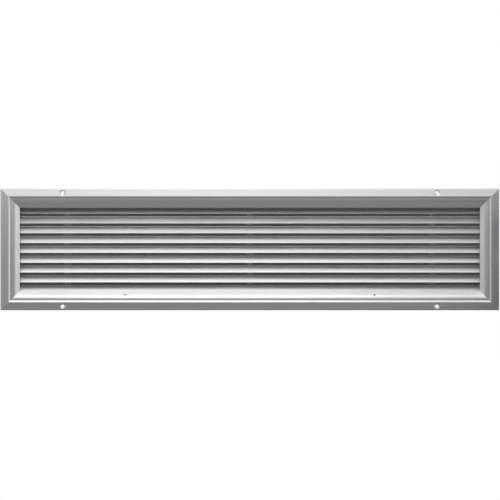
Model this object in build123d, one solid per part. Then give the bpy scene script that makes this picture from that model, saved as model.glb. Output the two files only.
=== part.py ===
from build123d import *
from math import asin, atan, cos, degrees, radians, sin, sqrt, tan
import os

# Rectangular air vent: a mitred aluminium frame around a pack of nine fixed chevron blades.
# X runs along the width, Z is up and the wall plane is Y = 0. The face looks toward -Y and
# the duct side is +Y. The origin is the centre of the face, on the wall plane.

# Face of the frame
face_width = 873.0
face_height = 213.0

# Frame extrusion: insets run inward from the outer edge, heights are taken off the wall
frame_wall = 2.4
edge_height = 5.0
edge_round = 1.0
ridge_inset = 13.6
ridge_height = 7.0
ridge_radius = 1.2
flank_angle = 40.0
crease_inset = 17.3
roll_radius = 14.0
bevel_angle = 43.0
lip_inset = 33.5

# Duct throat and the channel for the corner cleats, behind the visible skin
throat_inset = 22.0
throat_wall = 1.5
throat_depth = 42.0
rib_inset = 14.6
rib_wall = 1.6
toe_width = 1.4
toe_height = 1.0

# Countersunk wall fixings in the flange
fixing_end_inset = 109.1
fixing_edge_inset = 7.0
fixing_hole = 5.8
countersink_width = 10.5
countersink_angle = 100.0
cutter_overshoot = 2.0

# Two small holes in the lower roll
sill_hole = 3.6
sill_hole_end_inset = 218.25
sill_hole_inset = 26.8
sill_drill_overshoot = 0.18

# Corner cleats
cleat_arm = 48.0
cleat_wall = 1.5
cleat_corner = 4.8
cleat_clearance = 0.2
cleat_back_gap = 0.05

# Chevron blades, spread evenly between the insets of the first and the last from the edges
# of the face. The tip is the lower front end of a blade, the tail its lower rear end.
blade_count = 9
first_blade_inset = 40.5
last_blade_inset = 34.5
blade_wall = 1.2
leg_angle = 52.0
tip_depth = 10.8
tip_drop = 3.3
apex_rise = 8.6
tail_drop = 8.2
apex_bead_radius = 1.8
blade_end_gap = 0.2

# Comb-shaped carriers that hold the blade ends, inside the two ends of the throat
carrier_wall = 1.5
carrier_front = 16.5
carrier_back = 38.0
carrier_end_gap = 0.5
comb_clearance = 0.2

# Upright support bars, threaded through the rear legs of the blades
bar_end_inset = 116.0
bar_depth = 26.0
bar_width = 11.0
bar_wall = 2.5
bar_clearance = 0.15
tenon_width = 6.0
tenon_proud = 1.2

# Blind rivets that hold the carriers
rivet_diameter = 3.2
rivet_clearance = 0.05
rivet_head_width = 6.4
rivet_head_height = 1.0
rivet_tail_width = 4.8
rivet_tail_tip = 1.6
rivet_tail_height = 2.0
rivet_depth = 28.0

# Solids that stand on their base
BASE = (Align.CENTER, Align.CENTER, Align.MIN)

# Places that follow from the sizes above
flange_tilt = degrees(atan((ridge_height - edge_height) / ridge_inset))
ridge_centre_inset = ridge_inset + ridge_radius * sin(radians(flange_tilt))
ridge_centre_height = ridge_height - ridge_radius * cos(radians(flange_tilt))
flank_start_inset = ridge_centre_inset + ridge_radius * sin(radians(flank_angle))
flank_start_height = ridge_centre_height + ridge_radius * cos(radians(flank_angle))
flank_drop = (crease_inset - flank_start_inset) * tan(radians(flank_angle))
roll_centre_height = flank_start_height - flank_drop - roll_radius
throat_half_width = face_width / 2 - throat_inset - throat_wall
throat_half_height = face_height / 2 - throat_inset - throat_wall
fixing_x = face_width / 2 - fixing_end_inset
fixing_z = face_height / 2 - fixing_edge_inset
sill_hole_x = face_width / 2 - sill_hole_end_inset
bar_x = face_width / 2 - bar_end_inset
bar_places = {"left": -bar_x, "centre": 0.0, "right": bar_x}
blade_pitch = (face_height - first_blade_inset - last_blade_inset) / (blade_count - 1)
first_blade_height = face_height / 2 - first_blade_inset
blade_heights = [first_blade_height - i * blade_pitch for i in range(blade_count)]
leg_sine = sin(radians(leg_angle))
leg_cosine = cos(radians(leg_angle))
leg_slope = tan(radians(leg_angle))
apex_depth = tip_depth + (apex_rise + tip_drop) / leg_slope
tail_depth = apex_depth + (apex_rise + tail_drop) / leg_slope


def rectangle_between(low_x, low_y, high_x, high_y):
    """Flat rectangle with two given corners."""
    middle = Pos((low_x + high_x) / 2, (low_y + high_y) / 2)
    return middle * Rectangle(high_x - low_x, high_y - low_y)


def skin_line():
    """Visible line of the frame: edge, sloping flange, ridge, flank, rolled shoulder and bevel."""
    flange = FilletPolyline((0, 0), (0, edge_height), (ridge_inset, ridge_height), radius=edge_round)
    ridge = JernArc(flange @ 1, flange % 1, ridge_radius, -flange_tilt - flank_angle)
    flank = Line(ridge @ 1, (crease_inset, roll_centre_height + roll_radius))
    roll = JernArc(flank @ 1, (1, 0), roll_radius, -bevel_angle)
    bevel_length = (lip_inset - (roll @ 1).X) / cos(radians(bevel_angle))
    bevel = Line(roll @ 1, roll @ 1 + (roll % 1) * bevel_length)
    return Wire([*flange.edges(), *ridge.edges(), *flank.edges(), *roll.edges(), *bevel.edges()])


def roll_height(inset, sink=0.0):
    """Height of the rolled shoulder above the wall at a given inset, or of a line sunk below it."""
    return roll_centre_height + sqrt((roll_radius - sink) ** 2 - (inset - crease_inset) ** 2)


def flank_height(inset, sink=0.0):
    """Height of the flank above the wall at a given inset, or of a line sunk below it."""
    slope = radians(flank_angle)
    return flank_start_height - (inset - flank_start_inset) * tan(slope) - sink / cos(slope)


def frame_section():
    """Section of the frame extrusion: local X runs inward, local Y off the wall."""
    half_wall = frame_wall / 2
    rib_middle = rib_inset + rib_wall / 2
    rib_top = flank_height(rib_middle, half_wall)
    throat_middle = throat_inset + throat_wall / 2
    throat_top = roll_height(throat_middle, half_wall)
    skin = make_face(offset(skin_line(), frame_wall, side=Side.RIGHT))
    throat = rectangle_between(throat_inset, -throat_depth, throat_inset + throat_wall, throat_top)
    rib = rectangle_between(rib_inset, 0, rib_inset + rib_wall, rib_top)
    edge_toe = rectangle_between(0, 0, frame_wall + toe_width, toe_height)
    rib_toe = rectangle_between(rib_inset - toe_width, 0, rib_inset + rib_wall, toe_height)
    return skin + throat + rib + edge_toe + rib_toe


def frame_member(length, reach):
    """One mitred member as it lies along the top: reach runs from the centre to its edge."""
    end = Plane(origin=(length / 2, 0, reach), x_dir=(0, 0, -1), z_dir=(-1, 0, 0))
    bar = extrude(end * frame_section(), amount=length)
    depth = lip_inset + frame_wall
    corners = [
        (-length / 2, reach),
        (length / 2, reach),
        (length / 2 - depth, reach - depth),
        (depth - length / 2, reach - depth),
    ]
    outline = make_face(Polyline(*corners, close=True))
    return bar & extrude(Plane.XZ * outline, amount=throat_depth + 2 * ridge_height, both=True)


def fixing_cutter(x, z):
    """Countersunk clearance hole, square to the wall."""
    surface = edge_height + tan(radians(flange_tilt)) * fixing_edge_inset
    slope = tan(radians(countersink_angle / 2))
    mouth = countersink_width / 2 + cutter_overshoot * slope
    tip_height = surface + cutter_overshoot - mouth / slope
    cone = Pos(0, 0, tip_height) * Cone(0, mouth, mouth / slope, align=BASE)
    bore = Cylinder(fixing_hole / 2, surface, align=BASE)
    return Pos(x, 0, z) * Rot(90, 0, 0) * (cone + bore)


def sill_cutter(x):
    """Small hole through the lower roll, square to its face."""
    tilt = degrees(asin((sill_hole_inset - crease_inset) / roll_radius))
    surface = roll_height(sill_hole_inset)
    drill = Cylinder(sill_hole / 2, 2 * (frame_wall + sill_drill_overshoot))
    return Pos(x, -surface, sill_hole_inset - face_height / 2) * Rot(90 - tilt, 0, 0) * drill


def bar_slot(x, width):
    """Upright slot for one support bar, through everything on its line."""
    slot = Box(width + 2 * bar_clearance, bar_wall + 2 * bar_clearance, face_height)
    return Pos(x, bar_depth, 0) * slot


def leg_height(depth):
    """Height of the middle of a rear leg in its own section, at a given depth."""
    return apex_rise - (depth - apex_depth) * leg_slope


def rivet_heights():
    """Three rivets a side, midway between the rear legs of neighbouring blades."""
    last = blade_count - 2
    offset_down = leg_height(rivet_depth) - blade_pitch / 2
    return [blade_heights[gap] + offset_down for gap in (0, last // 2, last)]


def rivet_bores():
    """Clearance bores for the rivets of both carriers."""
    bore = Rot(0, 90, 0) * Cylinder(rivet_diameter / 2 + rivet_clearance, face_width)
    return [Pos(0, rivet_depth, z) * bore for z in rivet_heights()]


def frame_parts():
    """The four mitred members with their holes."""
    level = frame_member(face_width, face_height / 2)
    upright = frame_member(face_height, face_width / 2)
    slots = [bar_slot(x, tenon_width) for x in bar_places.values()]
    top_fixings = [fixing_cutter(side * fixing_x, fixing_z) for side in (-1, 1)]
    bottom_fixings = [fixing_cutter(side * fixing_x, -fixing_z) for side in (-1, 1)]
    sill_holes = [sill_cutter(side * sill_hole_x) for side in (-1, 1)]
    return {
        "frame_top": level - slots - top_fixings,
        "frame_bottom": Rot(0, 180, 0) * level - slots - bottom_fixings - sill_holes,
        "frame_left": Rot(0, -90, 0) * upright - rivet_bores(),
        "frame_right": Rot(0, 90, 0) * upright - rivet_bores(),
    }


def corner_cleat():
    """L-shaped plate that lies in the channel of two members, at the upper right corner."""
    outer = frame_wall + cleat_clearance
    inner = rib_inset - cleat_clearance
    right = face_width / 2
    top = face_height / 2
    level = rectangle_between(right - outer - cleat_arm, top - inner, right - outer, top - outer)
    upright = rectangle_between(right - inner, top - outer - cleat_arm, right - outer, top - outer)
    outline = level + upright
    back = toe_height + cleat_back_gap
    plate = extrude(Plane.XZ.offset(back) * outline, amount=cleat_wall)
    corner = plate.edges().filter_by(Axis.Y).sort_by(Axis.Z)[-2:].sort_by(Axis.X)[-1]
    return chamfer(corner, cleat_corner)


def cleat_parts():
    """Four cleats, one for each mitred corner."""
    cleat = corner_cleat()
    lower = mirror(cleat, about=Plane.XY)
    return {
        "cleat_top_right": cleat,
        "cleat_top_left": mirror(cleat, about=Plane.YZ),
        "cleat_bottom_right": lower,
        "cleat_bottom_left": mirror(lower, about=Plane.YZ),
    }


def blade_outline(growth=0.0):
    """Both legs as one mitred band with a bead along the apex, grown all round for a slot."""
    half = blade_wall / 2 + growth
    rise = half / leg_cosine
    tail = tail_depth + growth
    legs = make_face(
        Polyline(
            (tip_depth - half * leg_sine, half * leg_cosine - tip_drop),
            (apex_depth, apex_rise + rise),
            (tail, leg_height(tail) + rise),
            (tail, leg_height(tail) - rise),
            (apex_depth, apex_rise - rise),
            (tip_depth + half * leg_sine, -half * leg_cosine - tip_drop),
            close=True,
        )
    )
    bead = Pos(apex_depth, apex_rise) * Circle(apex_bead_radius + growth)
    return legs + bead


def blade_parts():
    """Chevron blades across the throat, numbered from the top and slotted for the bars."""
    half_length = throat_half_width - blade_end_gap
    whole = extrude(Plane.YZ.offset(-half_length) * blade_outline(), amount=2 * half_length)
    blade = whole - [bar_slot(x, bar_width) for x in bar_places.values()]
    return {f"blade_{i + 1}": Pos(0, 0, height) * blade for i, height in enumerate(blade_heights)}


def carrier(side):
    """Comb plate against the end wall of the throat, open at the front for the front legs."""
    depth = carrier_back - carrier_front
    height = 2 * (throat_half_height - carrier_end_gap)
    middle_x = side * (throat_half_width - carrier_wall / 2)
    plate = Pos(middle_x, carrier_front + depth / 2, 0) * Box(carrier_wall, depth, height)
    outline = blade_outline(comb_clearance)
    slot = extrude(Plane.YZ.offset(middle_x) * outline, amount=carrier_wall, both=True)
    return plate - [Pos(0, 0, z) * slot for z in blade_heights] - rivet_bores()


def rivet(side, height):
    """Set blind rivet: low head outside the throat, shank and tail inside the carrier."""
    grip = throat_wall + carrier_wall
    shank_radius = rivet_diameter / 2
    profile = Polyline(
        (0, -rivet_head_height),
        (shank_radius, -rivet_head_height),
        (rivet_head_width / 2, 0),
        (shank_radius, 0),
        (shank_radius, grip),
        (rivet_tail_width / 2, grip),
        (rivet_tail_tip / 2, grip + rivet_tail_height),
        (0, grip + rivet_tail_height),
        close=True,
    )
    body = revolve(Plane.XZ * make_face(profile), Axis.Z)
    outer_face = side * (throat_half_width + throat_wall)
    return Pos(outer_face, rivet_depth, height) * Rot(0, -90 * side, 0) * body


def carrier_parts():
    """Both carriers, each with its group of rivets."""
    parts = {}
    for name, side in (("left", -1), ("right", 1)):
        parts[f"carrier_{name}"] = carrier(side)
        parts[f"rivets_{name}"] = Compound([rivet(side, z) for z in rivet_heights()])
    return parts


def bar_parts():
    """Three support bars between the throat walls, with a staked tenon at each end."""
    bar = Box(bar_width, bar_wall, 2 * throat_half_height)
    reach = throat_half_height + throat_wall + tenon_proud
    tenons = Box(tenon_width, bar_wall, 2 * reach)
    return {f"support_bar_{name}": Pos(x, bar_depth, 0) * (bar + tenons) for name, x in bar_places.items()}


def main():
    os.makedirs("parts", exist_ok=True)
    groups = (frame_parts(), cleat_parts(), blade_parts(), carrier_parts(), bar_parts())
    for group in groups:
        for name, shape in group.items():
            export_step(shape, f"parts/{name}.step")


main()
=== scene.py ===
import math
import random

import bmesh
import bpy
from bpy.props import FloatProperty, FloatVectorProperty, PointerProperty
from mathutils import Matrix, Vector


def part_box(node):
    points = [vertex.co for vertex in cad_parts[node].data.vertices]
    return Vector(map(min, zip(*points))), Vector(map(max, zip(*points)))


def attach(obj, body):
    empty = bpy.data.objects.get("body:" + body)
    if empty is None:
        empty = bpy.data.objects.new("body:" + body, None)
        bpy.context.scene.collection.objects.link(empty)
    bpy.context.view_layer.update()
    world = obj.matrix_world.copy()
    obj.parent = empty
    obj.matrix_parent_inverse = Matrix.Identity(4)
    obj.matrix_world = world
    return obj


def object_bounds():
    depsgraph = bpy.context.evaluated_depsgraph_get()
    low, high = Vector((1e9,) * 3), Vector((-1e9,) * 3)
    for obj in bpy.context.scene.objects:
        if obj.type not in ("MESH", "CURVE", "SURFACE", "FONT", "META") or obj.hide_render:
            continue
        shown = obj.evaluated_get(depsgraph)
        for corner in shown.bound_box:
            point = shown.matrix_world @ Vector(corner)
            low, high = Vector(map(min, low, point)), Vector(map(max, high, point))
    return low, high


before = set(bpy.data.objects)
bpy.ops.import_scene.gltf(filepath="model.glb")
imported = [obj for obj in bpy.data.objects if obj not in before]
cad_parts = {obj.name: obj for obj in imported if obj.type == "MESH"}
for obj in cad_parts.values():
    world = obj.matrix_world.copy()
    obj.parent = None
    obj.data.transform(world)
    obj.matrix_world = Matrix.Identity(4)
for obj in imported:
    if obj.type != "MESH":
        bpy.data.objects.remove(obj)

bl_info = {
    "name": "Rectangular air vent",
    "version": (1, 0, 0),
    "blender": (4, 5, 0),
    "location": "3D View > Sidebar > Air vent",
    "description": "Finishes the rectangular air vent and lights it in a plain studio",
    "category": "Object",
}

MM = 0.001
CAD_LOW, CAD_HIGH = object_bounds()
ALONG_X, ALONG_Y, ALONG_Z = range(3)
BEVEL_SAMPLES = 4
SUPPORT_BARS = ("support_bar_left", "support_bar_centre", "support_bar_right")
# How far the ends of the support bars stand out of the throat walls.
TENON_PROUD = 1.2 * MM
# The gaps between blades, counted from the top, that hold the rivets of a carrier.
RIVET_GAPS = (0, 3, 7)
# The stage: all in metres, with the middle of the face at the origin.
FILM_WIDTH = 36.0
FLOOR_SIZE = 4.0
# Distance of the lamps from the part of the face that they light, and height of a lamp panel.
LAMP_REACH = 1.25
LAMP_HEIGHT = 0.33
# The grey panels in front of the face end at this height, so that the upper flange sees white.
SHADE_DEPTH = -0.35
SHADE_TOP = 0.165
SHADE_WIDTH = 0.90
SIDE_SHADE_WIDTH = 0.30
# Sides of the round pins and of the peened ends, and the seed of the hammer dents.
PIN_SIDES = 20
PEEN_SIDES = 28
DENT_SEED = 11


def linear(hex_colour):
    """Linear light of an sRGB hex colour."""
    channels = [int(hex_colour[i:i + 2], 16) / 255 for i in (1, 3, 5)]
    return tuple(c / 12.92 if c <= 0.04045 else ((c + 0.055) / 1.055) ** 2.4 for c in channels)


def opaque(colour):
    """Colour of a shader socket, from the three channels of a property."""
    return (*colour, 1.0)


def add_node(tree, kind, attributes=None, values=None, links=None):
    """One node with its attributes, its socket values and what feeds it."""
    node = tree.nodes.new(kind)
    for name, value in (attributes or {}).items():
        setattr(node, name, value)
    for name, value in (values or {}).items():
        node.inputs[name].default_value = value
    for name, source in (links or {}).items():
        tree.links.new(source, node.inputs[name])
    return node


def empty_material(name):
    """Material with nothing in its node tree."""
    material = bpy.data.materials.new(name)
    material.use_nodes = True
    material.node_tree.nodes.clear()
    return material


class VentFinish(bpy.types.PropertyGroup):
    """Colours and surface sizes of the metals."""

    anodised: FloatVectorProperty(
        name="Anodised aluminium",
        description="Colour of the satin anodised frame and blades",
        subtype="COLOR", size=3, min=0.0, max=1.0, default=linear("#D6D6D4"),
    )
    anodised_line: FloatVectorProperty(
        name="Die lines",
        description="Colour of the faint darker lines that the extrusion die leaves",
        subtype="COLOR", size=3, min=0.0, max=1.0, default=linear("#C6C6C5"),
    )
    # Painted highlight: a lighter colour laid along the edges, for the light that sharp edges catch.
    edge_highlight_colour: FloatVectorProperty(
        name="Rubbed edges",
        description="Colour of the anodised edges where handling has rubbed them bright",
        subtype="COLOR", size=3, min=0.0, max=1.0, default=linear("#E4E4E2"),
    )
    mill: FloatVectorProperty(
        name="Mill aluminium",
        description="Colour of the bare aluminium of carriers and support bars",
        subtype="COLOR", size=3, min=0.0, max=1.0, default=linear("#C9CACB"),
    )
    mill_mark: FloatVectorProperty(
        name="Roll marks",
        description="Colour of the darker marks that the rolls leave on bare aluminium",
        subtype="COLOR", size=3, min=0.0, max=1.0, default=linear("#B0B2B4"),
    )
    zinc: FloatVectorProperty(
        name="Zinc plate",
        description="Colour of the zinc on the steel corner cleats",
        subtype="COLOR", size=3, min=0.0, max=1.0, default=linear("#BCC0C4"),
    )
    zinc_dull: FloatVectorProperty(
        name="Dull zinc",
        description="Colour of the duller patches in the zinc",
        subtype="COLOR", size=3, min=0.0, max=1.0, default=linear("#9EA3A8"),
    )
    rivet: FloatVectorProperty(
        name="Rivet aluminium",
        description="Colour of the bright rivet bodies",
        subtype="COLOR", size=3, min=0.0, max=1.0, default=linear("#D8D9DA"),
    )
    pin: FloatVectorProperty(
        name="Rivet pins",
        description="Colour of the broken steel pins in the rivets",
        subtype="COLOR", size=3, min=0.0, max=1.0, default=linear("#8E9093"),
    )
    die_spacing: FloatProperty(
        name="Die line spacing",
        description="Distance between the fine lines along the extrusions",
        unit="LENGTH", min=0.0001, default=0.7 * MM,
    )
    streak_spacing: FloatProperty(
        name="Streak spacing",
        description="Width of the soft streaks that anodising shows along the extrusions",
        unit="LENGTH", min=0.001, default=9.0 * MM,
    )
    roll_spacing: FloatProperty(
        name="Roll mark spacing",
        description="Distance between the marks on rolled and drawn aluminium",
        unit="LENGTH", min=0.0001, default=1.5 * MM,
    )
    # Also sets how wide the band of painted edge highlight is.
    edge_width: FloatProperty(
        name="Edge width",
        description="Width of the band along each edge that is rubbed bright",
        unit="LENGTH", min=0.00005, default=0.35 * MM,
    )


class VentFixings(bpy.types.PropertyGroup):
    """Sizes of the small pieces that are set by hammer or rivet gun."""

    pin_width: FloatProperty(
        name="Pin width",
        description="Diameter of the steel pin that is left in a rivet",
        unit="LENGTH", min=0.0005, default=1.9 * MM,
    )
    pin_head_width: FloatProperty(
        name="Pin head width",
        description="Diameter of the ball that spreads the tail of a rivet",
        unit="LENGTH", min=0.001, default=2.9 * MM,
    )
    peened_length: FloatProperty(
        name="Peened length",
        description="Length of the hammered end of a support bar, across the throat wall",
        unit="LENGTH", min=0.001, default=7.6 * MM,
    )
    peened_width: FloatProperty(
        name="Peened width",
        description="Width of the hammered end of a support bar",
        unit="LENGTH", min=0.001, default=4.3 * MM,
    )


class VentStage(bpy.types.PropertyGroup):
    """Camera, lamps, shades and floor."""

    view_width: FloatProperty(
        name="View width",
        description="Width of the picture where the wall plane is",
        unit="LENGTH", min=0.1, default=0.8751,
    )
    camera_distance: FloatProperty(
        name="Camera distance",
        description="Distance of the camera from the wall plane",
        unit="LENGTH", min=1.0, default=6.0,
    )
    floor_drop: FloatProperty(
        name="Floor drop",
        description="Height of the centre of the face above the floor",
        unit="LENGTH", min=0.2, default=0.62,
    )
    key_light: FloatProperty(
        name="Key light",
        description="Radiance of the soft lamp in front of and above the face",
        min=0.0, default=3.2,
    )
    top_light: FloatProperty(
        name="Top light",
        description="Radiance of the wide soft lamps over the face",
        min=0.0, default=1.3,
    )
    side_light: FloatProperty(
        name="Side light",
        description="Radiance of the soft lamp on the right",
        min=0.0, default=1.0,
    )
    front_shade: FloatProperty(
        name="Front shade",
        description="Radiance of the dim grey panels in front of and below the face",
        min=0.0, default=0.30,
    )
    paper: FloatVectorProperty(
        name="Floor paper",
        description="Colour of the pale studio floor",
        subtype="COLOR", size=3, min=0.0, max=1.0, default=linear("#F0F0F0"),
    )


def drawn_marks(tree, place, along, stretch, spacing, detail):
    """Marks of a given spacing, drawn out along one axis of the part."""
    scale = [1.0, 1.0, 1.0]
    scale[along] = stretch
    drawn = add_node(
        tree, "ShaderNodeMapping",
        values={"Scale": scale},
        links={"Vector": place.outputs["Object"]},
    )
    return add_node(
        tree, "ShaderNodeTexNoise",
        values={"Scale": 1 / spacing, "Detail": detail, "Roughness": 0.6},
        links={"Vector": drawn.outputs["Vector"]},
    )


def rounded_edges_and_highlight(tree, width):
    """Rounded normal along the edges, and how strongly each point takes the painted edge highlight, from 0
    to 1.
    """
    rounded = add_node(
        tree, "ShaderNodeBevel", attributes={"samples": BEVEL_SAMPLES}, values={"Radius": width},
    )
    surface = add_node(tree, "ShaderNodeNewGeometry")
    agreement = add_node(tree, "ShaderNodeVectorMath", attributes={"operation": "DOT_PRODUCT"})
    tree.links.new(rounded.outputs["Normal"], agreement.inputs[0])
    tree.links.new(surface.outputs["Normal"], agreement.inputs[1])
    # Painted highlight mask: 1 on the edges, where the colour is painted lighter.
    highlighted = add_node(
        tree, "ShaderNodeMapRange",
        values={"From Min": 0.995, "From Max": 0.88, "To Min": 0.0, "To Max": 1.0},
        links={"Value": agreement.outputs["Value"]},
    )
    return rounded, highlighted


def two_tone(tree, amount, first, second):
    """Blend of two fixed colours by a pattern that runs from 0 to 1."""
    blend = add_node(tree, "ShaderNodeMix", attributes={"data_type": "RGBA"})
    blend.inputs[6].default_value = opaque(first)
    blend.inputs[7].default_value = opaque(second)
    tree.links.new(amount, blend.inputs[0])
    return blend


def colour_with_edge_highlight(tree, highlighted, plain, edge):
    """Colour of a metal that turns to the lighter edge colour along its edges, as a painted highlight."""
    colour = add_node(tree, "ShaderNodeMix", attributes={"data_type": "RGBA"})
    colour.inputs[7].default_value = opaque(edge)
    tree.links.new(highlighted.outputs["Result"], colour.inputs[0])
    tree.links.new(plain.outputs[2], colour.inputs[6])
    return colour.outputs[2]


def metal_surface(tree, colour, roughness, relief):
    """Ends the tree in a bare metal with the given colour, roughness and relief."""
    shader = add_node(
        tree, "ShaderNodeBsdfPrincipled",
        values={"Metallic": 1.0},
        links={"Base Color": colour, "Roughness": roughness, "Normal": relief},
    )
    add_node(tree, "ShaderNodeOutputMaterial", links={"Surface": shader.outputs["BSDF"]})


# Anodised aluminium, extruded and satin etched. The eye gets an even grey sheen, fine lines and
# softer streaks along the length of the profile, and a painted highlight: edges painted lighter.
# The fine lines are 0.2 mm apart on the real one and are drawn coarser, so that they show.
def anodised_extrusion(name, finish, along):
    material = empty_material(name)
    tree = material.node_tree
    place = add_node(tree, "ShaderNodeTexCoord")
    lines = drawn_marks(tree, place, along, 0.0008, finish.die_spacing, 2.0)
    streaks = drawn_marks(tree, place, along, 0.006, finish.streak_spacing, 1.0)
    cloud = add_node(
        tree, "ShaderNodeTexNoise",
        values={"Scale": 1 / (60 * MM), "Detail": 2.0},
        links={"Vector": place.outputs["Object"]},
    )
    grain = add_node(
        tree, "ShaderNodeTexNoise",
        values={"Scale": 1 / (0.5 * MM), "Detail": 2.0},
        links={"Vector": place.outputs["Object"]},
    )
    tone = add_node(tree, "ShaderNodeMath", attributes={"operation": "MULTIPLY_ADD"})
    tree.links.new(streaks.outputs["Fac"], tone.inputs[0])
    tone.inputs[1].default_value = 0.6
    tree.links.new(lines.outputs["Fac"], tone.inputs[2])
    spread = add_node(
        tree, "ShaderNodeMapRange",
        values={"From Min": 0.55, "From Max": 1.05, "To Min": 0.1, "To Max": 1.0},
        links={"Value": tone.outputs["Value"]},
    )
    plain = two_tone(tree, spread.outputs["Result"], finish.anodised_line, finish.anodised)
    rounded, highlighted = rounded_edges_and_highlight(tree, finish.edge_width)
    # Painted highlight: the edges take the lighter edge colour.
    colour = colour_with_edge_highlight(tree, highlighted, plain, finish.edge_highlight_colour)
    sheen = add_node(
        tree, "ShaderNodeMapRange",
        values={"From Min": 0.3, "From Max": 0.7, "To Min": 0.39, "To Max": 0.45},
        links={"Value": cloud.outputs["Fac"]},
    )
    roughness = add_node(tree, "ShaderNodeMath", attributes={"operation": "MULTIPLY_ADD"})
    tree.links.new(highlighted.outputs["Result"], roughness.inputs[0])
    roughness.inputs[1].default_value = -0.1
    tree.links.new(sheen.outputs["Result"], roughness.inputs[2])
    etched = add_node(
        tree, "ShaderNodeBump",
        values={"Strength": 0.08, "Distance": 0.02 * MM},
        links={"Height": grain.outputs["Fac"], "Normal": rounded.outputs["Normal"]},
    )
    relief = add_node(
        tree, "ShaderNodeBump",
        values={"Strength": 0.08, "Distance": 0.02 * MM},
        links={"Height": lines.outputs["Fac"], "Normal": etched.outputs["Normal"]},
    )
    metal_surface(tree, colour, roughness.outputs["Value"], relief.outputs["Normal"])
    return material


# Mill-finish aluminium, rolled or drawn and left bare: softer and more uneven than the anodised
# parts, with short darker marks from the rolls and a painted highlight: edges painted lighter.
def mill_aluminium(name, finish, along):
    material = empty_material(name)
    tree = material.node_tree
    place = add_node(tree, "ShaderNodeTexCoord")
    marks = drawn_marks(tree, place, along, 0.05, finish.roll_spacing, 4.0)
    spread = add_node(
        tree, "ShaderNodeMapRange",
        values={"From Min": 0.35, "From Max": 0.6},
        links={"Value": marks.outputs["Fac"]},
    )
    plain = two_tone(tree, spread.outputs["Result"], finish.mill_mark, finish.mill)
    rounded, highlighted = rounded_edges_and_highlight(tree, finish.edge_width)
    # Painted highlight: the edges take the lighter edge colour.
    colour = colour_with_edge_highlight(tree, highlighted, plain, finish.edge_highlight_colour)
    roughness = add_node(
        tree, "ShaderNodeMapRange",
        values={"From Min": 0.3, "From Max": 0.7, "To Min": 0.30, "To Max": 0.45},
        links={"Value": marks.outputs["Fac"]},
    )
    relief = add_node(
        tree, "ShaderNodeBump",
        values={"Strength": 0.2, "Distance": 0.04 * MM},
        links={"Height": marks.outputs["Fac"], "Normal": rounded.outputs["Normal"]},
    )
    metal_surface(tree, colour, roughness.outputs["Result"], relief.outputs["Normal"])
    return material


# Zinc-plated steel, pressed from sheet: a cool grey with dull patches a few millimetres wide,
# and scratches along the press stroke.
def zinc_steel(name, finish):
    material = empty_material(name)
    tree = material.node_tree
    place = add_node(tree, "ShaderNodeTexCoord")
    patches = add_node(
        tree, "ShaderNodeTexNoise",
        values={"Scale": 1 / (5 * MM), "Detail": 3.0, "Distortion": 0.6},
        links={"Vector": place.outputs["Object"]},
    )
    scratches = drawn_marks(tree, place, ALONG_Y, 0.1, 0.6 * MM, 4.0)
    spread = add_node(
        tree, "ShaderNodeMapRange",
        values={"From Min": 0.4, "From Max": 0.65},
        links={"Value": patches.outputs["Fac"]},
    )
    colour = two_tone(tree, spread.outputs["Result"], finish.zinc, finish.zinc_dull)
    roughness = add_node(
        tree, "ShaderNodeMapRange",
        values={"From Min": 0.3, "From Max": 0.7, "To Min": 0.32, "To Max": 0.52},
        links={"Value": patches.outputs["Fac"]},
    )
    rounded = add_node(
        tree, "ShaderNodeBevel", attributes={"samples": BEVEL_SAMPLES}, values={"Radius": finish.edge_width},
    )
    relief = add_node(
        tree, "ShaderNodeBump",
        values={"Strength": 0.15, "Distance": 0.03 * MM},
        links={"Height": scratches.outputs["Fac"], "Normal": rounded.outputs["Normal"]},
    )
    metal_surface(tree, colour.outputs[2], roughness.outputs["Result"], relief.outputs["Normal"])
    return material


# Rivet metal, cold headed and tumbled: small bright dents in an otherwise smooth surface. The
# same finish in a darker colour does for the broken steel pins.
def headed_metal(name, colour):
    material = empty_material(name)
    tree = material.node_tree
    place = add_node(tree, "ShaderNodeTexCoord")
    dents = add_node(
        tree, "ShaderNodeTexNoise",
        values={"Scale": 1 / (0.8 * MM), "Detail": 2.0},
        links={"Vector": place.outputs["Object"]},
    )
    spread = add_node(
        tree, "ShaderNodeMapRange",
        values={"From Min": 0.35, "From Max": 0.65},
        links={"Value": dents.outputs["Fac"]},
    )
    tone = two_tone(tree, spread.outputs["Result"], [c * 0.85 for c in colour], colour)
    roughness = add_node(
        tree, "ShaderNodeMapRange",
        values={"From Min": 0.35, "From Max": 0.65, "To Min": 0.22, "To Max": 0.36},
        links={"Value": dents.outputs["Fac"]},
    )
    relief = add_node(
        tree, "ShaderNodeBump",
        values={"Strength": 0.2, "Distance": 0.05 * MM},
        links={"Height": dents.outputs["Fac"]},
    )
    metal_surface(tree, tone.outputs[2], roughness.outputs["Result"], relief.outputs["Normal"])
    return material


def clad(node, material):
    """A CAD node takes a material in all its slots."""
    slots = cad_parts[node].material_slots
    if not slots:
        raise RuntimeError(f"{node} has no material slot")
    for slot in slots:
        slot.material = material


class VENT_OT_frame(bpy.types.Operator):
    """Finish the four mitred frame members"""

    bl_idname = "vent.frame"
    bl_label = "Frame"

    def execute(self, context):
        finish = context.scene.vent_finish
        level = anodised_extrusion("anodised_aluminium_extruded_level", finish, ALONG_X)
        upright = anodised_extrusion("anodised_aluminium_extruded_upright", finish, ALONG_Z)
        for node in ("frame_top", "frame_bottom"):
            clad(node, level)
        for node in ("frame_left", "frame_right"):
            clad(node, upright)
        return {"FINISHED"}


class VENT_OT_blades(bpy.types.Operator):
    """Finish the nine chevron blades"""

    bl_idname = "vent.blades"
    bl_label = "Blades"

    def execute(self, context):
        finish = context.scene.vent_finish
        blade = anodised_extrusion("anodised_aluminium_blade", finish, ALONG_X)
        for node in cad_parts:
            if node.startswith("blade_"):
                clad(node, blade)
        return {"FINISHED"}


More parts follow.
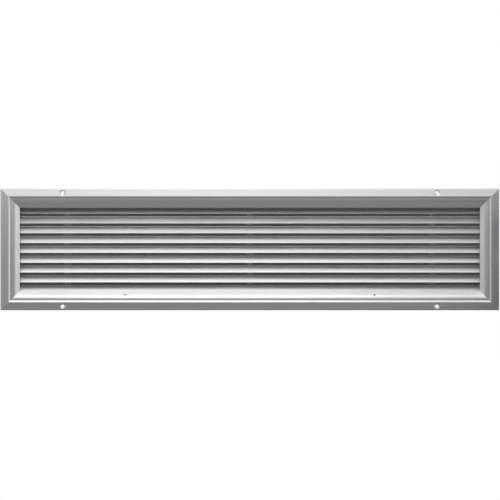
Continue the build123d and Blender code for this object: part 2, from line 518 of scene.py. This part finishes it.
class VENT_OT_supports(bpy.types.Operator):
    """Finish the carriers, support bars and rivets"""

    bl_idname = "vent.supports"
    bl_label = "Carriers, bars and rivets"

    def execute(self, context):
        finish = context.scene.vent_finish
        sheet = mill_aluminium("mill_aluminium_rolled_sheet", finish, ALONG_Z)
        drawn = mill_aluminium("mill_aluminium_drawn_bar", finish, ALONG_Z)
        headed = headed_metal("aluminium_cold_headed", finish.rivet)
        for node in ("carrier_left", "carrier_right"):
            clad(node, sheet)
        for node in SUPPORT_BARS:
            clad(node, drawn)
        for node in ("rivets_left", "rivets_right"):
            clad(node, headed)
        return {"FINISHED"}


class VENT_OT_cleats(bpy.types.Operator):
    """Finish the corner cleats"""

    bl_idname = "vent.cleats"
    bl_label = "Corner cleats"

    def execute(self, context):
        plated = zinc_steel("steel_pressed_zinc_plated", context.scene.vent_finish)
        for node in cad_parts:
            if node.startswith("cleat_"):
                clad(node, plated)
        return {"FINISHED"}


def keep_piece(name, mesh, material, smooth_angle):
    """Object of a finished mesh, smooth up to an angle, that rides on the part."""
    mesh.normal_update()
    data = bpy.data.meshes.new(name)
    mesh.to_mesh(data)
    mesh.free()
    data.materials.append(material)
    data.polygons.foreach_set("use_smooth", [True] * len(data.polygons))
    piece = bpy.data.objects.new(name, data)
    bpy.context.scene.collection.objects.link(piece)
    data.set_sharp_from_angle(angle=smooth_angle)
    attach(piece, "root")
    return piece


def ring_skin(mesh, rings):
    """Skin over rings of points, each ring closed, with a cap on the first and the last."""
    loops = [[mesh.verts.new(point) for point in ring] for ring in rings]
    for low, high in zip(loops, loops[1:]):
        for i in range(len(low)):
            j = (i + 1) % len(low)
            mesh.faces.new((low[i], low[j], high[j], high[i]))
    mesh.faces.new(loops[0][::-1])
    mesh.faces.new(loops[-1])


class VENT_OT_rivet_pins(bpy.types.Operator):
    """Set the broken steel pins in the rivets of both carriers"""

    bl_idname = "vent.rivet_pins"
    bl_label = "Rivet pins"

    def execute(self, context):
        sizes = context.scene.vent_fixings
        steel = headed_metal("steel_pin_cold_drawn", context.scene.vent_finish.pin)
        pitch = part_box("blade_1")[1][2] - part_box("blade_2")[1][2]
        for name, side in (("left", -1), ("right", 1)):
            low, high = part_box(f"rivets_{name}")
            outer = max(abs(low[0]), abs(high[0]))
            inner = min(abs(low[0]), abs(high[0]))
            depth = (low[1] + high[1]) / 2
            top = high[2] - (high[1] - low[1]) / 2
            stub = sizes.pin_width / 2
            ball = sizes.pin_head_width / 2
            # Distances from the middle of the vent and radii, from the ball in the tail of the
            # rivet to the torn tip in its head.
            profile = [
                (inner - 0.55 * ball, 0.15 * ball), (inner - 0.5 * ball, 0.45 * ball),
                (inner - 0.25 * ball, 0.85 * ball), (inner + 0.1 * ball, ball),
                (inner + 0.5 * ball, 0.95 * ball), (inner + 0.9 * ball, 0.6 * ball),
                (outer - 0.5 * MM, stub), (outer + 0.05 * MM, stub),
                (outer + 0.12 * MM, 0.7 * stub), (outer + 0.3 * MM, 0.45 * stub),
                (outer + 0.2 * MM, 0.2 * stub),
            ]
            mesh = bmesh.new()
            for gap in RIVET_GAPS:
                height = top - gap * pitch
                rings = []
                for reach, radius in profile:
                    turns = [side * math.tau * i / PIN_SIDES for i in range(PIN_SIDES)]
                    rings.append([(side * reach, depth + radius * math.cos(t), height + radius * math.sin(t))
                                  for t in turns])
                ring_skin(mesh, rings)
            bmesh.ops.recalc_face_normals(mesh, faces=mesh.faces)
            keep_piece(f"rivet_pins_{name}", mesh, steel, math.radians(40))
        return {"FINISHED"}


class VENT_OT_peened_ends(bpy.types.Operator):
    """Spread the hammered ends of the support bars over the throat walls"""

    bl_idname = "vent.peened_ends"
    bl_label = "Peened bar ends"

    def execute(self, context):
        sizes = context.scene.vent_fixings
        metal = mill_aluminium("mill_aluminium_peened", context.scene.vent_finish, ALONG_X)
        dents = random.Random(DENT_SEED)
        # Share of the full outline and share of the height, from the wall to the crown.
        levels = [(0.94, -0.1), (1.0, 0.12), (1.0, 0.4), (0.93, 0.72), (0.74, 0.95), (0.4, 1.08)]
        mesh = bmesh.new()
        for node in SUPPORT_BARS:
            low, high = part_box(node)
            middle, depth = (low[0] + high[0]) / 2, (low[1] + high[1]) / 2
            for side in (-1, 1):
                foot = side * (high[2] - TENON_PROUD)
                rings = []
                for share, rise in levels:
                    ring = []
                    for i in range(PEEN_SIDES):
                        turn = side * math.tau * i / PEEN_SIDES
                        across = math.copysign(abs(math.cos(turn)) ** 0.6, math.cos(turn))
                        along = math.copysign(abs(math.sin(turn)) ** 0.6, math.sin(turn))
                        dent = 1 + dents.uniform(-0.05, 0.03)
                        ring.append((
                            middle + share * dent * across * sizes.peened_length / 2,
                            depth + share * dent * along * sizes.peened_width / 2,
                            foot + side * TENON_PROUD * rise * (1 + dents.uniform(-0.03, 0.03)),
                        ))
                    rings.append(ring)
                ring_skin(mesh, rings)
        bmesh.ops.recalc_face_normals(mesh, faces=mesh.faces)
        keep_piece("peened_bar_ends", mesh, metal, math.radians(50))
        return {"FINISHED"}


def flat_panel(name, centre, width, height, facing):
    """Flat rectangle with its middle at centre, turned so that its front looks along facing."""
    half_width, half_height = width / 2, height / 2
    mesh = bpy.data.meshes.new(name)
    corners = [(-half_width, -half_height, 0), (half_width, -half_height, 0),
               (half_width, half_height, 0), (-half_width, half_height, 0)]
    mesh.from_pydata(corners, [], [(0, 1, 2, 3)])
    panel = bpy.data.objects.new(name, mesh)
    panel.location = centre
    panel.rotation_euler = Vector(facing).to_track_quat("Z", "Y").to_euler()
    bpy.context.scene.collection.objects.link(panel)
    return panel


def glow(name, radiance):
    """Material of a panel that the metal sees as an even light or a dim shade."""
    material = empty_material(name)
    tree = material.node_tree
    light = add_node(tree, "ShaderNodeEmission", values={"Strength": radiance})
    add_node(tree, "ShaderNodeOutputMaterial", links={"Surface": light.outputs["Emission"]})
    return material


def reflection_card(name, centre, width, height, facing, radiance):
    """Panel that shows only in reflections."""
    card = flat_panel(name, centre, width, height, facing)
    card.data.materials.append(glow(name, radiance))
    card.visible_camera = False
    card.visible_diffuse = False
    card.visible_shadow = False
    return card


def soft_lamp(name, centre, target, width, height, radiance):
    """Rectangular soft lamp of a given radiance, aimed at a point."""
    light = bpy.data.lights.new(name, "AREA")
    light.shape = "RECTANGLE"
    light.size = width
    light.size_y = height
    light.energy = radiance * math.pi * width * height
    lamp = bpy.data.objects.new(name, light)
    lamp.location = centre
    aim = Vector(centre) - Vector(target)
    lamp.rotation_euler = aim.to_track_quat("Z", "Y").to_euler()
    bpy.context.scene.collection.objects.link(lamp)
    return lamp


def raised_lamp(name, elevation, middle, width, height, radiance):
    """Soft lamp at the reach of the studio arm, raised by an angle from straight in front."""
    angle = math.radians(elevation)
    place = (middle, -LAMP_REACH * math.cos(angle), LAMP_REACH * math.sin(angle))
    return soft_lamp(name, place, (middle, 0, 0), width, height, radiance)


def studio_world():
    """White where the camera, a reflection or glass looks past the object, soft grey light elsewhere."""
    world = bpy.data.worlds.new("studio")
    world.use_nodes = True
    tree = world.node_tree
    tree.nodes.clear()
    path = add_node(tree, "ShaderNodeLightPath")
    seen = add_node(tree, "ShaderNodeMath", attributes={"operation": "ADD"})
    tree.links.new(path.outputs["Is Camera Ray"], seen.inputs[0])
    tree.links.new(path.outputs["Is Glossy Ray"], seen.inputs[1])
    any_seen = add_node(tree, "ShaderNodeMath", attributes={"operation": "ADD", "use_clamp": True})
    tree.links.new(seen.outputs["Value"], any_seen.inputs[0])
    tree.links.new(path.outputs["Is Transmission Ray"], any_seen.inputs[1])
    soft = add_node(tree, "ShaderNodeBackground", values={"Strength": 0.55})
    white = add_node(tree, "ShaderNodeBackground", values={"Strength": 1.0})
    soft.inputs["Color"].default_value = (1, 1, 1, 1)
    white.inputs["Color"].default_value = (1, 1, 1, 1)
    mixed = add_node(tree, "ShaderNodeMixShader", links={"Fac": any_seen.outputs["Value"]})
    tree.links.new(soft.outputs["Background"], mixed.inputs[1])
    tree.links.new(white.outputs["Background"], mixed.inputs[2])
    add_node(tree, "ShaderNodeOutputWorld", links={"Surface": mixed.outputs["Shader"]})
    return world


class VENT_OT_stage(bpy.types.Operator):
    """Set up the camera, the floor and the soft studio light"""

    bl_idname = "vent.stage"
    bl_label = "Stage"

    def execute(self, context):
        scene = context.scene
        stage = scene.vent_stage
        data = bpy.data.cameras.new("vent_camera")
        data.sensor_width = FILM_WIDTH
        data.lens = FILM_WIDTH * stage.camera_distance / stage.view_width
        data.clip_end = 100.0
        camera = bpy.data.objects.new("vent_camera", data)
        camera.location = (0.25 * MM, -stage.camera_distance, -1.1 * MM)
        camera.rotation_euler = (math.pi / 2, 0, 0)
        scene.collection.objects.link(camera)
        scene.camera = camera

        floor = flat_panel("floor", (0, 0, -stage.floor_drop), FLOOR_SIZE, FLOOR_SIZE, (0, 0, 1))
        paper = empty_material("floor_paper")
        tree = paper.node_tree
        matt = add_node(tree, "ShaderNodeBsdfDiffuse", values={"Color": opaque(stage.paper)})
        add_node(tree, "ShaderNodeOutputMaterial", links={"Surface": matt.outputs["BSDF"]})
        floor.data.materials.append(paper)

        shade = stage.front_shade
        middle = (SHADE_TOP - stage.floor_drop) / 2
        tall = SHADE_TOP + stage.floor_drop
        beside = (SHADE_WIDTH + SIDE_SHADE_WIDTH) / 2
        # Name, place of its middle, width, height, facing and share of the shade's radiance.
        panels = (
            ("front_shade", (0, SHADE_DEPTH, middle), SHADE_WIDTH, tall, (0, 1, 0), 1.0),
            ("front_shade_left", (-beside, SHADE_DEPTH, middle), SIDE_SHADE_WIDTH, tall, (0, 1, 0), 1.0),
            ("front_shade_right", (beside, SHADE_DEPTH, middle), SIDE_SHADE_WIDTH, tall, (0, 1, 0), 0.1),
            ("under_shade", (0, -0.03, -0.30), 1.6, 0.62, (0, 0, 1), 1.1),
            ("duct_dark", (0, CAD_HIGH[1] + 160 * MM, 0), 1.0, 0.5, (0, -1, 0), 0.35),
        )
        for name, place, width, height, facing, share in panels:
            reflection_card(name, place, width, height, facing, shade * share)

        # Name, angle above straight in front, middle, width, height and radiance.
        lamps = (
            ("key_lamp", 46, -0.12, 0.55, 0.60, stage.key_light),
            ("fill_lamp", 34, 0.0, 1.5, LAMP_HEIGHT, stage.top_light * 0.4),
            ("top_lamp", 66, -0.22, 1.1, LAMP_HEIGHT, stage.top_light),
            ("overhead_lamp", 82, -0.15, 1.3, LAMP_HEIGHT, stage.top_light),
        )
        for lamp in lamps:
            raised_lamp(*lamp)
        left_end, right_end = (-0.43, 0, 0), (0.43, 0, 0)
        soft_lamp("left_lamp", (-1.64, -0.32, 0), left_end, 0.5, 0.8, stage.side_light * 0.4)
        soft_lamp("right_lamp", (1.60, -0.45, 0), right_end, 0.8, 0.8, stage.side_light)

        scene.world = studio_world()
        scene.view_settings.view_transform = "Standard"
        return {"FINISHED"}


class VENT_PT_sidebar(bpy.types.Panel):
    """Lists the pieces of the vent and its stage"""

    bl_idname = "VENT_PT_sidebar"
    bl_label = "Air vent"
    bl_space_type = "VIEW_3D"
    bl_region_type = "UI"
    bl_category = "Air vent"

    def draw(self, context):
        scene = context.scene
        for group in (scene.vent_finish, scene.vent_fixings, scene.vent_stage):
            column = self.layout.column()
            for name in group.bl_rna.properties.keys():
                if name not in ("rna_type", "name"):
                    column.prop(group, name)
        for operator in PIECES:
            self.layout.operator(operator.bl_idname)


PIECES = (
    VENT_OT_frame, VENT_OT_blades, VENT_OT_supports, VENT_OT_cleats, VENT_OT_rivet_pins,
    VENT_OT_peened_ends, VENT_OT_stage,
)
CLASSES = (VentFinish, VentFixings, VentStage, *PIECES, VENT_PT_sidebar)


def register():
    for cls in CLASSES:
        bpy.utils.register_class(cls)
    bpy.types.Scene.vent_finish = PointerProperty(type=VentFinish)
    bpy.types.Scene.vent_fixings = PointerProperty(type=VentFixings)
    bpy.types.Scene.vent_stage = PointerProperty(type=VentStage)


def unregister():
    del bpy.types.Scene.vent_stage
    del bpy.types.Scene.vent_fixings
    del bpy.types.Scene.vent_finish
    for cls in reversed(CLASSES):
        bpy.utils.unregister_class(cls)


def corners(bounds):
    """The two corners of a box as plain lists."""
    return [list(corner) for corner in bounds]


def main():
    """Makes every piece and the stage."""
    register()
    bpy.ops.vent.frame()
    bpy.ops.vent.blades()
    bpy.ops.vent.supports()
    bpy.ops.vent.cleats()
    bpy.ops.vent.rivet_pins()
    bpy.ops.vent.peened_ends()
    bpy.ops.vent.stage()


if __name__ == "__main__":
    main()
